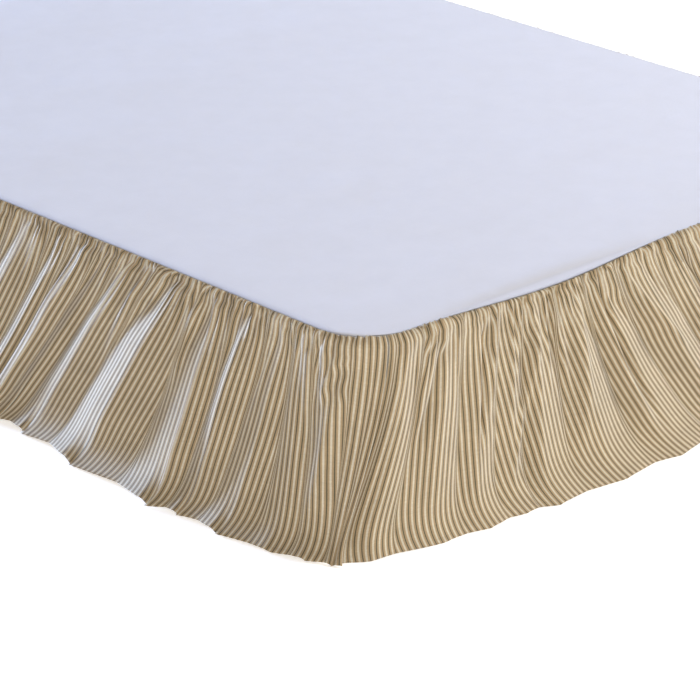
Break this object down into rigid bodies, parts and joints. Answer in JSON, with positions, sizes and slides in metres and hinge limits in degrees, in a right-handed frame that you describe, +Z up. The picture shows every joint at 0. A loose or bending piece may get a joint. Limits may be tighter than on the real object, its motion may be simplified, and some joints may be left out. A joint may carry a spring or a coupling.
{
  "type": "bed skirt on a box spring and bed frame",
  "caption": "Gathered striped bed skirt with split foot corners, laid over a box spring on a plain wooden frame, its ruffles reaching the floor.",
  "frame": {"origin": "on the floor, at the middle of the centre leg's underside, under the middle of the bed", "axes": "+Z up, +Y towards the head of the bed, +X towards the side on the right of someone who looks from the foot to the head"},
  "size_m": [1.8709, 2.1551, 0.36],
  "materials": {
    "deck_cloth": "matte plain weave, pale blue-white",
    "ticking": "matte cotton ticking, cream with tan and grey stripes",
    "box_cover": "matte off-white cover",
    "frame_wood": "satin clear finish"
  },
  "bodies": {
    "root": {"deck": "deck_cloth", "left_ruffle": "ticking", "foot_ruffle": "ticking", "right_ruffle": "ticking", "box_spring": "box_cover", "bearer_foot": "frame_wood", "bearer_middle": "frame_wood", "bearer_head": "frame_wood", "rail_left": "frame_wood", "rail_right": "frame_wood", "leg_centre": "frame_wood", "leg_foot_left": "frame_wood", "leg_foot_right": "frame_wood", "leg_middle_left": "frame_wood", "leg_middle_right": "frame_wood", "leg_head_left": "frame_wood", "leg_head_right": "frame_wood"}
  },
  "joints": []
}
